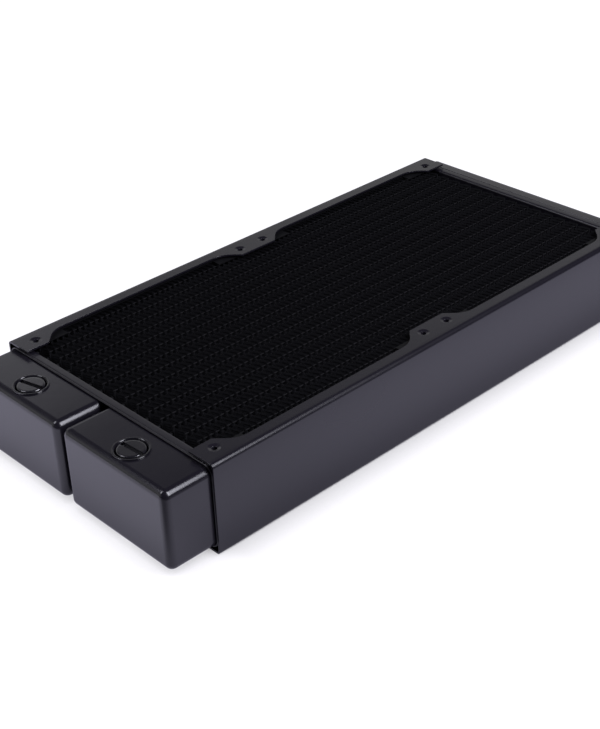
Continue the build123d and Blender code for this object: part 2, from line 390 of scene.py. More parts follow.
def thicken(piece, thickness, edge=0.0):
    """Gives a sheet its thickness, inwards from its outer face, and rounds its cut edges."""
    add_modifier(piece, "wall", "SOLIDIFY", thickness=thickness, offset=-1.0, use_even_offset=True)
    if edge:
        add_modifier(piece, "edge", "BEVEL", width=edge, segments=2, limit_method="ANGLE",
                     angle_limit=math.radians(50), harden_normals=True)
    settle(piece)


def settle(piece):
    """Lets the wide faces rule the smooth shading, so that the rounds beside them don't tint them."""
    add_modifier(piece, "shading", "WEIGHTED_NORMAL", mode="FACE_AREA", keep_sharp=True)


def facing_out(surface, centre=(0, 0, 0)):
    """The surface with its quads turned, if need be, so that most of it looks away from a point.

    That is when twice each quad's area vector times its middle, seen from the point, adds up
    to more than zero. For a closed surface the sum is six times its volume, from any point.
    """
    points, quads = surface
    a, b, c, d = (points[quads[:, k]] for k in range(4))
    along = np.sum(np.cross(c - a, d - b) * ((a + b + c + d) / 4 - centre))
    return points, quads[:, ::-1] if along < 0 else quads


# ---- finishes ----

def node(tree, kind, **values):
    """A new node with some of its settings and inputs. In an input's name _ stands for a space."""
    made = tree.nodes.new(kind)
    for key, value in values.items():
        place = key.replace("_", " ")
        if place in made.inputs:
            feed(tree, made.inputs[place], value)
        else:
            setattr(made, key, value)
    return made


def feed(tree, target, value):
    """Links an input to a socket, or sets it to a number or a colour."""
    if isinstance(value, bpy.types.NodeSocket):
        tree.links.new(value, target)
    else:
        target.default_value = value


def times(tree, first, second, plus=0.0):
    """A node that gives first times second plus a third value, each a number or a socket."""
    product = node(tree, "ShaderNodeMath", operation="MULTIPLY_ADD")
    for target, value in zip(product.inputs, (first, second, plus)):
        feed(tree, target, value)
    return product.outputs["Value"]


def sprayed_skin():
    """Node group: the fine orange peel of sprayed paint and slow changes in its gloss and depth.

    Height adds a fine noise to a coarser one; Cloud is a slow noise from 0 to 1.
    """
    found = bpy.data.node_groups.get("sprayed_skin")
    if found:
        return found
    group = bpy.data.node_groups.new("sprayed_skin", "ShaderNodeTree")
    noises = {"Grain Scale": (2.0, 0.6), "Peel Scale": (1.0, 0.4), "Cloud Scale": (3.0, 0.55)}
    for way, names in (("INPUT", noises), ("OUTPUT", ("Height", "Cloud"))):
        for name in names:
            group.interface.new_socket(name=name, in_out=way, socket_type="NodeSocketFloat")
    scales = node(group, "NodeGroupInput").outputs
    place = node(group, "ShaderNodeTexCoord").outputs["Object"]
    grain, peel, cloud = (
        node(group, "ShaderNodeTexNoise", Vector=place, Scale=scales[name], Detail=detail, Roughness=rough)
        for name, (detail, rough) in noises.items())
    grain_share = 0.35
    height = times(group, grain.outputs["Fac"], grain_share, peel.outputs["Fac"])
    node(group, "NodeGroupOutput", Height=height, Cloud=cloud.outputs["Fac"])
    return group


def painted(name, base, roughness, spread=0.02, bump=0.02, specular=0.5, scales=(900.0, 260.0, 22.0)):
    """A sprayed black: its colour and gloss drift a little over the surface, with fine orange peel."""
    material = bpy.data.materials.new(name)
    material.use_nodes = True
    tree = material.node_tree
    shader = tree.nodes["Principled BSDF"]
    shader.inputs["Specular IOR Level"].default_value = specular
    grain, peel, slow = scales
    skin = node(tree, "ShaderNodeGroup", node_tree=sprayed_skin(), Grain_Scale=grain, Peel_Scale=peel,
                Cloud_Scale=slow)
    cloud = skin.outputs["Cloud"]
    deep, pale = ((*[min(1.0, channel * share) for channel in base], 1.0) for share in (0.92, 1.08))
    tint = node(tree, "ShaderNodeMix", data_type="RGBA", Factor=cloud, A=deep, B=pale)
    gloss = node(tree, "ShaderNodeMapRange", Value=cloud, From_Min=0.3, From_Max=0.7,
                 To_Min=roughness - spread, To_Max=roughness + spread)
    relief = node(tree, "ShaderNodeBump", Strength=bump, Distance=0.4 * MM, Height=skin.outputs["Height"])
    for target, source in (("Base Color", tint.outputs["Result"]), ("Roughness", gloss.outputs["Result"]),
                           ("Normal", relief.outputs["Normal"])):
        tree.links.new(source, shader.inputs[target])
    return material


FINISHES = {
    # name: colour, roughness, how far that drifts, bump, specular level
    "rail_black": ("paint", 0.26, 0.02, 0.04, 0.5),
    "tank_black": ("paint", 0.22, 0.02, 0.03, 0.5),
    "tray_black": ("paint", 0.30, 0.02, 0.05, 0.5),
    "core_black": ("core_paint", 0.5, 0.02, 0.08, 0.08),
    "solder_black": ("solder_paint", 0.7, 0.02, 0.05, 0.05),
    "fin_black": ("core_paint", 0.6, 0.02, 0.05, 0.01),
    "port_black": ("port_black", 0.2, 0.03, 0.02, 0.7),
    "plug_black": ("port_black", 0.22, 0.04, 0.03, 0.8),
    "seal_rubber": ("rubber", 0.55, 0.02, 0.1, 0.35),
}


def finish(name):
    """The finish of that name, made once."""
    key, *values = FINISHES[name]
    base = getattr(bpy.context.scene.radiator_finish, key)
    return bpy.data.materials.get(name) or painted(name, base, *values)


# ---- rails ----

def opening_corner(sizes, face):
    """Sizes of a fan opening's corner, for a rail whose outer face is at y = face.

    They are the tab's edge, the narrow flange's edge, and the ends of the slope and of the arc
    between them, as distances from the fan's middle.
    """
    tab, narrow = HOLE_Y - sizes.tab_past_hole, face - sizes.flange
    opening = HOLE_Y - sizes.tab_side
    corner = opening - (narrow - tab)
    reach = sizes.opening_round * math.tan(math.pi / 8)
    return tab, narrow, opening, corner - reach, corner + reach * math.cos(math.pi / 4)


def rail_inner_edge(x, sizes, face):
    """Y of the flange's inner edge at each x, for a rail whose outer face is at y = face.

    At a tab it is the tab's edge. Beside it the edge runs out at 45 degrees, and an arc that is
    tangent to that slope and to the narrow flange's edge rounds the corner between them.
    """
    tab, narrow, opening, start, end = opening_corner(sizes, face)
    across = np.min(np.abs(x[:, None] - np.array(FAN_X)), axis=1)
    slope = np.clip(tab + opening - across, tab, narrow)
    radius = sizes.opening_round
    curve = narrow - radius + np.sqrt(np.clip(radius ** 2 - np.clip(across - start, 0, None) ** 2, 0, None))
    return np.where(across < end, np.minimum(curve, narrow), slope)


def rail_stations(low, high, sizes, window, steps):
    """X of the stations along a rail: even ones, those of each arc, and those of each hole's window."""
    _, _, opening, start, end = opening_corner(sizes, high.y)
    lines = np.linspace(-window, window, steps + 1)
    stops = [np.linspace(low.x, high.x, 60)]
    for centre in FAN_X:
        for sign in (-1, 1):
            stops += [centre + sign * np.append(np.linspace(start, end, 15), opening),
                      centre + sign * HOLE_Y + lines]
    x = np.unique(np.round(np.concatenate(stops), 7))
    clear = np.ones(len(x), bool)
    for hole in HOLE_X:
        near = np.abs(x - hole) <= window + 1e-6
        on_line = np.min(np.abs(x[:, None] - (hole + lines)), axis=1) < 2e-7
        clear &= ~near | on_line
    return x[clear]


def dimple_rings(sizes):
    """Circles of (radius, depth) down a screw hole: rim, cone, rounded edge and drawn collar."""
    lip = HOLE_R + sizes.hole_round
    brink = sizes.dimple - sizes.dimple_round / 2
    flat_ring = 0.15 * MM
    rings = [(sizes.dimple + flat_ring, 0.0), (sizes.dimple, 0.0)]
    rings += [(radius, -sizes.dimple_depth * (brink - radius) / (brink - lip))
              for radius in np.linspace(sizes.dimple - sizes.dimple_round, lip, 4)]
    rings += [(lip - sizes.hole_round * math.sin(turn),
               -sizes.dimple_depth - sizes.hole_round * (1 - math.cos(turn)))
              for turn in np.linspace(0, math.pi / 2, 4)[1:]]
    return rings + [(HOLE_R, -sizes.collar / 2), (HOLE_R, -sizes.collar)]


def rail_surfaces(low, high, sizes):
    """The outer face of a folded rail on the +Y side, and the patches with its screw holes.

    Along the rail the section is the same C, except that the depth of its two flanges follows
    the inner edge. Fractions of that depth are shared by all stations, so that the grid lines
    meet the windows' edges at each tab.
    """
    clear_of_edge, steps = 0.05 * MM, 8
    window = sizes.tab_side - clear_of_edge
    face, height = high.y, high.z
    root = face - sizes.bend
    depth = root - HOLE_Y + sizes.tab_past_hole
    x = rail_stations(low, high, sizes, window, steps)
    first, last = ((root - HOLE_Y + sign * window) / depth for sign in (-1, 1))
    shares = np.concatenate([[0.0, first / 2], np.linspace(first, last, steps + 1), [(1 + last) / 2, 1.0]])
    flange = root - shares * (root - rail_inner_edge(x, sizes, face)[:, None])
    web = np.linspace(sizes.bend, height - sizes.bend, 8)[1:-1]
    fold = np.concatenate([arc((root, sizes.bend), sizes.bend, -90, 0, 6)[1:], crossed(face, web),
                           arc((root, height - sizes.bend), sizes.bend, 0, 90, 6)[:-1]])
    fold_y, fold_z = (np.repeat(fold[None, :, k], len(x), 0) for k in (0, 1))
    y = np.concatenate([flange[:, ::-1], fold_y, flange], axis=1)
    z = np.concatenate([np.zeros_like(flange), fold_z, np.full_like(flange, height)], axis=1)
    points = crossed(x[:, None], y, z).reshape(-1, 3)
    return pierced(points, weave(*y.shape), [(x, HOLE_Y) for x in HOLE_X], window, dimple_rings(sizes), steps)


class RADIATOR_OT_rails(bpy.types.Operator):
    """Folded side rails with fan openings and drawn, dimpled screw holes"""
    bl_idname = "radiator.rails"
    bl_label = "Side rails"

    def execute(self, context):
        sizes = context.scene.radiator_rail
        low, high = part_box("side_rail_left")
        # each surface is turned by itself, so that its outer face looks out of the fold
        fold = (0.0, high.y - sizes.flange, high.z / 2)
        points, quads = joined([facing_out(surface, fold) for surface in rail_surfaces(low, high, sizes)])
        for name, mirror in (("side_rail_left", 1), ("side_rail_right", -1)):
            piece = make_piece(name + "_sheet", (points * (1, mirror, 1), quads[:, ::mirror]), "rail_black",
                               "root", [name])
            thicken(piece, sizes.sheet, sizes.edge)
        return {"FINISHED"}


# ---- tanks and header plates ----

def tank_surface(low, high, sizes, lean, port=None):
    """A drawn tank's outer face, closed on the side that lean points to, with holes for a port at (x, y)."""
    radius = sizes.edge_round
    half, centre = (high - low) / 2, (high + low) / 2
    mouth, closed = (low.x, high.x)[::lean]
    window = sizes.port_window
    steps = 12
    across = np.linspace(-1, 1, steps + 1)
    depths = np.linspace(mouth, closed - lean * radius, 9)
    if port:
        share = window / (half.y - radius)
        beside = (1 + share) / 2
        across = np.concatenate([[-1, -beside], np.linspace(-share, share, steps + 1), [beside, 1]])
        inside = np.linspace(port[0] - window, port[0] + window, steps + 1)[::lean]
        depths = np.concatenate([[mouth, (mouth + inside[0]) / 2], inside, [closed - lean * radius]])
    points, quads = drawn_shell(half, radius, across, depths, closed, lean)
    flat_ring = 0.1 * MM
    rings = [(sizes.port_hole + flat_ring, 0.0), (sizes.port_hole, 0.0)]
    surfaces = pierced(points + (0, centre.y, centre.z), quads, [port] if port else [], window, rings, steps)
    return joined([facing_out(surface, centre) for surface in surfaces])


class RADIATOR_OT_tanks(bpy.types.Operator):
    """Drawn port tanks and return tank, with rounded edges and holes for the ports"""
    bl_idname = "radiator.tanks"
    bl_label = "Tanks"

    def execute(self, context):
        sizes = context.scene.radiator_tank
        for name, lean in (("inlet_tank", -1), ("outlet_tank", -1), ("return_tank", 1)):
            mount = MOUNTS.get(name.replace("tank", "port_thread"))
            surface = tank_surface(*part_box(name), sizes, lean, mount and mount["pos_m"][:2])
            piece = make_piece(name + "_shell", surface, "tank_black", "root", [name])
            thicken(piece, sizes.wall)
        return {"FINISHED"}


def tray_profile(tank, depth):
    """The outer and inner face of a tray's wall, as (distance from the mouth, inset) pairs.

    The rim's end is half a circle. Behind it the face is a flat bead, then a groove of cosine
    form, then a wide arc whose tangent a tighter arc carries down to the plate.
    """
    wall = tank.tray_sheet - tank.tray_seam
    end = arc((wall / 2, wall / 2), wall / 2, 90, 270, 8)
    along = np.linspace(-1, 1, 9)
    groove = np.stack([tank.bead + (1 + along) * tank.groove / 2,
                       tank.groove_depth * (1 + np.cos(math.pi * along)) / 2], axis=1)
    start = tank.bead + tank.groove
    turn = math.asin((depth - start - tank.tray_bend) / (tank.crown - tank.tray_bend))
    wide = np.linspace(0, turn, 6)[1:]
    crown = np.stack([start + tank.crown * np.sin(wide), tank.crown * (1 - np.cos(wide))], axis=1)
    tight = np.linspace(turn, math.pi / 2, 8)[1:]
    bend = crown[-1] + tank.tray_bend * np.stack([np.sin(tight) - math.sin(turn),
                                                  math.cos(turn) - np.cos(tight)], axis=1)
    inner_bend = arc((depth - tank.tray_sheet - wall, 2 * wall), wall, -90, 0, 5)
    return np.concatenate([inner_bend[::-1], end, groove, crown, bend])


def tray_surface(half, tank, mouth, lean):
    """A closed tray: its wall's profile carried round a rectangle with rounded corners.

    Each point of the profile is a rounded rectangle, drawn in by the point's inset. The two
    flat sides of the plate close on lines along the tray's middle.
    """
    across = np.linspace(-1, 1, 9)
    corner = tank.edge_round + tank.tray_sheet
    sections = [section(mouth + lean * along,
                        rounded_outline(half.y - inset, half.z - inset, corner - inset, across))
                for along, inset in tray_profile(tank, 2 * half.x)]
    shrinks = [(1, 0.95, 0.5), (1, 1, 0)]
    return lofted([sections[0] * shrink for shrink in shrinks[::-1]] + sections
                  + [sections[-1] * shrink for shrink in shrinks])


class RADIATOR_OT_trays(bpy.types.Operator):
    """Header plates: shallow trays whose rims turn outwards round the tanks"""
    bl_idname = "radiator.trays"
    bl_label = "Header plates"

    def execute(self, context):
        for name, lean in (("header_plate_front", 1), ("header_plate_rear", -1)):
            low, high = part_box(name)
            centre = (high + low) / 2
            mouth = low.x if lean > 0 else high.x
            points, quads = tray_surface((high - low) / 2, context.scene.radiator_tank, mouth, lean)
            surface = facing_out((points + (0, centre.y, centre.z), quads))
            settle(make_piece(name + "_tray", surface, "tray_black", "root", [name],
                              sharp=50.0))
        return {"FINISHED"}


# ---- fins ----

FOLD_POINTS = 7


def fold_count(start, end, sizes):
    """How many whole waves a fin has between its two ends."""
    return round((end - start - sizes.flat) / sizes.period + 0.5)


def fin_line(crest, waves, sizes, reach):
    """The middle line of a folded fin, as (x, y): arcs joined by the straight legs tangent to both.

    A crest's arc is centred one fold radius below the upper reach and a valley's one above the
    lower reach, half a period on. The leg between them touches both arcs where their radii are
    square to it: its normal makes, with the line of centres, the angle whose cosine is twice
    the radius over their distance. A valley is a crest turned half a turn about the middle of
    its leg, so its sweep runs the same way.
    """
    radius = sizes.fold
    rise = 2 * (reach - radius)
    run = sizes.period / 2
    normal = math.atan2(-rise, run) + math.acos(2 * radius / math.hypot(run, rise))
    sweep = np.linspace(math.pi - normal, normal, FOLD_POINTS)
    x = crest + np.arange(waves)[:, None] * sizes.period
    side, height = radius * np.cos(sweep), reach - radius + radius * np.sin(sweep)
    line = np.concatenate([crossed(x + side, height), crossed(x + run - side, -height)], axis=1)
    return line.reshape(-1, 2)


def fin_surface(low, high, sizes):
    """A folded sheet between two heights, and the louvres that stand out of its legs.

    A louvre is a blade across the middle three quarters of a leg, turned out of the sheet about
    its own long middle line, one way on a falling leg and the other way on a rising one.
    """
    reach = (high.y - low.y) / 2 - sizes.sheet / 2
    line = fin_line(low.x + sizes.flat / 2, fold_count(low.x, high.x, sizes), sizes, reach)
    line = line + (0, (low.y + high.y) / 2)
    points = crossed(line[:, :1], line[:, 1:], np.array([low.z, high.z]))
    starts, ends = line[FOLD_POINTS - 1:-1:FOLD_POINTS], line[FOLD_POINTS::FOLD_POINTS]
    along = ends - starts
    out = np.stack([along[:, 1], -along[:, 0]], 1)
    out /= np.linalg.norm(out, axis=1)[:, None]
    tilt = np.where(np.arange(len(starts)) % 2 == 0, 1.0, -1.0) * sizes.louvre_tilt
    offsets = (np.arange(sizes.louvre_rows) + 1.0) * sizes.louvre_pitch
    heights = np.concatenate([low.z + offsets, high.z - offsets])
    uncut = 0.13 * along
    near, far = starts + uncut, ends - uncut
    swing = out * (np.sin(tilt) * sizes.louvre / 2)[:, None]
    rise = (np.cos(tilt) * sizes.louvre / 2)[:, None]
    corners = []
    for end, sign in ((near, -1), (far, -1), (far, 1), (near, 1)):
        flat = end + sign * swing
        corners.append(crossed(flat[:, :1], flat[:, 1:], heights + sign * rise))
    blades = np.stack(corners, axis=2).reshape(-1, 3)
    return joined([(points.reshape(-1, 3), weave(len(line), 2)),
                   (blades, np.arange(len(blades)).reshape(-1, 4))])


def solder_surface(low, high, side, row, sizes):
    """Beads of solder in the grooves at a tube's two edges, one at each fold that meets the tube there.

    A bead is an ellipsoid: a ring of points at each latitude, as wide as the latitude's cosine
    and as high as its sine. Its size follows a sine of the bead's number with a long period.
    """
    rings, segments = 6, 8
    along = low.x + sizes.flat / 2 + (np.arange(fold_count(low.x, high.x, sizes)) + 0.5) * sizes.period
    along = along[along < high.x - sizes.flat]
    latitude = np.linspace(-math.pi / 2, math.pi / 2, rings)[:, None]
    around = np.linspace(0, 2 * math.pi, segments, endpoint=False)
    ball = crossed(np.cos(latitude) * np.cos(around), np.cos(latitude) * np.sin(around), np.sin(latitude))
    ball = ball.reshape(-1, 3) * (sizes.bead_long, sizes.bead_wide, sizes.bead_high)
    number = np.arange(len(along))
    scale = 0.9 + 0.1 * np.sin(2.4 * number + 1.7 * row) * np.sin(0.37 * number + 0.9 * row)
    quads = weave(rings, segments, wrap_cols=True) + (number * len(ball))[:, None, None]
    beads = []
    for height in (high.z - sizes.bead_high, low.z + sizes.bead_high):
        middle = crossed(along, side - 0.6 * sizes.bead_wide, height)
        points = middle[:, None, :] + ball * scale[:, None, None]
        beads.append(facing_out((points.reshape(-1, 3), quads.reshape(-1, 4))))
    return joined(beads)


class RADIATOR_OT_fins(bpy.types.Operator):
    """Folded, louvred fins between the tubes, and the solder beside them"""
    bl_idname = "radiator.fins"
    bl_label = "Fins"

    def execute(self, context):
        sizes = context.scene.radiator_fin
        for name in nodes_named("cooling_fin_"):
            low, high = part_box(name)
            piece = make_piece(name + "_folded", fin_surface(low, high, sizes), "fin_black", "root",
                               [name], sharp=60.0)
            add_modifier(piece, "wall", "SOLIDIFY", thickness=sizes.sheet, offset=0.0)
        for row, name in enumerate(nodes_named("flat_tube_")):
            beads = solder_surface(low, high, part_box(name)[1].y, row, sizes)
            make_piece(f"solder_row_{row + 1:02d}", beads, "solder_black", "root", sharp=180.0)
        return {"FINISHED"}


# ---- ports, plugs and seals ----

TURN_STEPS = 72     # points round a threaded piece
PITCH_STEPS = 10    # points up one turn of its thread


def port_levels(side, sizes):
    """Heights and radii of one port, read from the frame."""
    low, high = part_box(side + "_port_top")
    plug_low, plug_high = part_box(side + "_plug")
    seal_low, seal_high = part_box(side + "_plug_seal")
    collar_r = (high.x - low.x) / 2
    return SimpleNamespace(
        x=(low.x + high.x) / 2, y=(low.y + high.y) / 2, foot=low.z, top=high.z,
        collar_r=collar_r, seat_r=collar_r - sizes.collar_wall,
        floor=seal_low.z - sizes.seal_gap, seal_r=(seal_high.x - seal_low.x) / 2 - sizes.seal / 2,
        plug_foot=plug_low.z, plug_top=plug_high.z)


def thread_twist(sizes, crest, root, start, end):
    """A rule for lathe(): between two heights the radius swings between crest and root.

    The ridge is a rounded triangle wave of height over pitch less angle over one turn, so it
    climbs by one pitch a turn the right-handed way, and it dies out over half a pitch at each end.
    """
    sharpness = 0.97

    def twist(turn, radius, height):
        phase = height / sizes.pitch - turn / (2 * math.pi)
        swing = np.arcsin(sharpness * np.cos(2 * math.pi * phase)) / math.asin(sharpness)
        fade_out = np.clip(np.minimum(height - start, end - height) / (sizes.pitch / 2), 0, 1)
        threaded = (crest + root) / 2 + swing * (root - crest) / 2
        inside = (height > start) & (height < end)
        return np.where(inside, radius + fade_out * (threaded - radius), radius)
    return twist


def bush_surface(port, sizes):
    """A threaded bush turned from a closed profile: collar, seat, threaded bore and body."""
    body = port.collar_r - sizes.body_step
    soft, crown = sizes.lead_in, sizes.collar_round
    collar_foot = port.top - sizes.collar_height
    bore = (sizes.bore_crest + sizes.bore_root) / 2
    threaded = np.arange(port.floor - 0.35 * MM, port.foot + 2 * soft, -sizes.pitch / PITCH_STEPS)
    profile = np.concatenate([
        [(body, port.foot + soft), (body, collar_foot), (port.collar_r, collar_foot)],
        arc((port.collar_r - crown / 2, port.top - crown / 2), crown / 2, 0, 90, 4),
        arc((port.seat_r + crown, port.top - crown), crown, 90, 180, 6),
        [(port.seat_r, (port.top + port.floor) / 2), (port.seat_r, port.floor),
         (bore + 3 * soft, port.floor)],
        crossed(bore, threaded),
        [(bore + 0.2 * MM, port.foot), (body - soft, port.foot)],
    ])
    twist = thread_twist(sizes, sizes.bore_crest, sizes.bore_root, port.foot + 0.1 * MM,
                         port.floor - 0.2 * MM)
    return lathe(profile, TURN_STEPS, twist, closed=True)


def half_moon(radius, chord, steps=24):
    """Outline of a disc's part beyond a straight cut at the distance chord: an arc and that cut."""
    reach = math.sqrt(radius * radius - chord * chord)
    start = math.degrees(math.atan2(chord, reach))
    return np.concatenate([arc((0, 0), radius, start, 180 - start, steps - 1),
                           crossed(np.linspace(-reach, reach, 10)[1:-1], chord)])


def plug_surface(port, sizes, turn):
    """A screw plug: a turned shank and neck, and two half moons that leave the slot between them."""
    top, floor, foot, head_r = port.plug_top, port.floor, port.plug_foot, port.seal_r
    slot_floor, under = top - sizes.slot_depth, top - sizes.head
    neck = head_r - sizes.seal / 2 - sizes.seal_gap
    crest, root = sizes.bore_root - sizes.play, sizes.bore_crest - sizes.play
    tip_wide, tip_high, soft = 0.5 * MM, 0.3 * MM, 0.12 * MM
    thread_foot = foot + 0.2 * MM
    rise = np.arange(thread_foot + 0.2 * MM, floor - 0.1 * MM, sizes.pitch / PITCH_STEPS)
    profile = np.concatenate([
        [(0, foot), (root - tip_wide, foot), (root, foot + tip_high)],
        crossed((crest + root) / 2, rise),
        [(root, floor), (neck, floor), (neck, under), (head_r - soft, under), (head_r, under + soft),
         (head_r, slot_floor), (0, slot_floor)],
    ])
    surfaces = [lathe(profile, TURN_STEPS, thread_twist(sizes, root, crest, thread_foot, floor))]
    cut, edge = sizes.slot_width / 2, sizes.head_round
    rows = [(slot_floor, head_r, cut)]
    rows += [(top - edge * (1 - math.sin(a)), head_r - edge * (1 - math.cos(a)), cut)
             for a in np.linspace(0, math.pi / 2, 6)]
    rows.append((top, head_r - 2 * edge, cut + edge))
    for flip in (1, -1):
        sections = [raised(half_moon(radius, chord) * flip, height) for height, radius, chord in rows]
        middle = sections[-1].mean(axis=0)
        surfaces.append(lofted(sections + [np.broadcast_to(middle, sections[-1].shape)]))
    points, quads = joined([facing_out(surface, (0, 0, (floor + foot) / 2)) for surface in surfaces])
    return points @ np.array(Matrix.Rotation(turn, 3, "Z").transposed()), quads


def seal_surface(port, sizes):
    """A ring of round cord: a circle of the cord's radius turned about the port's axis."""
    radius = sizes.seal / 2
    profile = arc((port.seal_r, port.floor + sizes.seal_gap + radius), radius, 0, 360, 16)[:-1]
    return lathe(profile, 64, closed=True)


class RADIATOR_OT_ports(bpy.types.Operator):
    """Threaded port bushes, slotted screw plugs and their seals"""
    bl_idname = "radiator.ports"
    bl_label = "Ports and plugs"

    def execute(self, context):
        sizes = context.scene.radiator_port
        for side, turn in (("inlet", sizes.inlet_slot), ("outlet", sizes.outlet_slot)):
            port = port_levels(side, sizes)
            low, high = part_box(side + "_tank")
            bush, quads = facing_out(bush_surface(port, sizes))
            below = bush * (1, 1, -1) + (0, 0, low.z + high.z), quads[:, ::-1]
            pieces = (("bush_top", (bush, quads), "port_black", "root", "port_finish", "port_top"),
                      ("bush_bottom", below, "port_black", "root", "port_finish", "port_bottom"),
                      ("screw_plug", plug_surface(port, sizes, turn), "plug_black", side + "_plug",
                       "plug_finish", "plug"),
                      ("seal_ring", facing_out(seal_surface(port, sizes)), "seal_rubber", side + "_seal",
                       "seal_rubber", "plug_seal"))
            for name, (points, quads), paint, body, slot, stands_for in pieces:
                make_piece(f"{side}_{name}", (points + (port.x, port.y, 0), quads), paint, body,
                           [f"{side}_{stands_for}"], sharp=50.0)
        return {"FINISHED"}


# ---- pieces kept from the frame ----

class RADIATOR_OT_core(bpy.types.Operator):
    """Finish of the tubes, side plates and screw guards, which keep their own shapes"""
    bl_idname = "radiator.core"
    bl_label = "Tubes, plates and guards"

    def execute(self, context):
        for name in nodes_named("flat_tube_", "side_plate_", "screw_guard_"):
            for place in frame["nodes"][name].material_slots:
                place.material = finish("core_black")
        return {"FINISHED"}


# ---- stage ----

SOFTBOXES = {
    # name: place, size, radiance, the way that its first side runs
    "right_window": ((0.157, -0.72, 0.71), (0.37, 0.82), 12.5, (1, 0, 0)),
    "left_strip": ((-0.57, 0.39, 0.80), (0.24, 0.5), 7.5, (0, 1, 0)),
    "left_card": ((-0.86, 0.84, 0.07), (0.14, 0.9), 1.0, (0, 0, 1)),
    "back_card": ((0.204, 1.10, 0.663), (0.60, 0.175), 0.5, (1, 0, 0)),
}
WHITE = (1.0, 1.0, 1.0, 1.0)
STUDIO_TINT = (1.0, 1.0, 1.12)
# tints of the floor's painted glow: the one the paint reflects and the one the camera sees
GLOW_TINT = (0.96, 0.93, 1.17, 1.0)
SEEN_TINT = (1.0, 0.99, 1.03, 1.0)
# zones that shape the floor's painted pool of light and its painted shade by the rails' foot, their port end
# and the port tanks
FLOOR_ZONES = {
    # name: axis, and where the zone fades in, from the radiator's lowest corner
    "right": ("X", -0.038, 0.004),
    "band": ("Y", -0.09, -0.045),
    "left": ("Y", -0.012, 0.022),
    "foot_front": ("Y", -0.034, -0.004),
    "foot_back": ("Y", 0.006, -0.002),
    "foot_end": ("X", 0.012, 0.036),
    "far": ("X", 0.07, 0.16),
    "tanks": ("X", 0.034, 0.018),
}
# the floor's brightness, as the camera sees it, against how open the sky over it is: a painted contact shadow
FLOOR_SHADE = ((0.14, 0.0), (0.24, 0.35), (0.34, 0.62), (0.58, 0.66), (0.7, 0.79), (0.8, 0.89), (0.93, 1.0))
# the backdrop's brightness at each height of the view's direction, from the horizon to the top
BACKDROP = ((0.0, 0.2), (0.15, 0.25), (0.36, 0.75), (0.415, 0.75), (0.44, 0.40), (0.53, 0.26), (0.55, 0.12),
            (0.62, 0.02))


def softbox(name, place, size, radiance, along):
    """A rectangular softbox that faces the tanks' near corner.

    Its first side runs as nearly along the given way as the facing allows, and its power is
    its radiance times pi times its area.
    """
    data = bpy.data.lights.new(name, "AREA")
    data.shape = "RECTANGLE"
    data.size, data.size_y = size
    data.energy = radiance * math.pi * size[0] * size[1]
    data.color = STUDIO_TINT
    low, high = cad_box
    away = (Vector(place) - Vector((low[0], low[1], high[2]))).normalized()
    first = (Vector(along) - away * away.dot(Vector(along))).normalized()
    turn = Matrix((first, away.cross(first), away)).transposed()
    placed(name, data).matrix_world = Matrix.Translation(place) @ turn.to_4x4()


def grey_ramp(tree, source, stops):
    """A colour ramp of greys over a value, from (position, grey) pairs."""
    made = node(tree, "ShaderNodeValToRGB", Fac=source)
    ends = made.color_ramp.elements
    for end, (place, value) in zip(ends, (stops[0], stops[-1])):
        end.position, end.color = place, (value, value, value, 1.0)
    for place, value in stops[1:-1]:
        ends.new(place).color = (value, value, value, 1.0)
    return made.outputs["Color"]


def floor_zone(tree, parts, axis, start, end):
    """A smooth rise from 0 to 1 along one axis, between two distances from the radiator's lowest corner."""
    corner = cad_box[0]["XYZ".index(axis)]
    rise = node(tree, "ShaderNodeMapRange", interpolation_type="SMOOTHSTEP", Value=parts.outputs[axis],
                From_Min=corner + start, From_Max=corner + end)
    return rise.outputs["Result"]


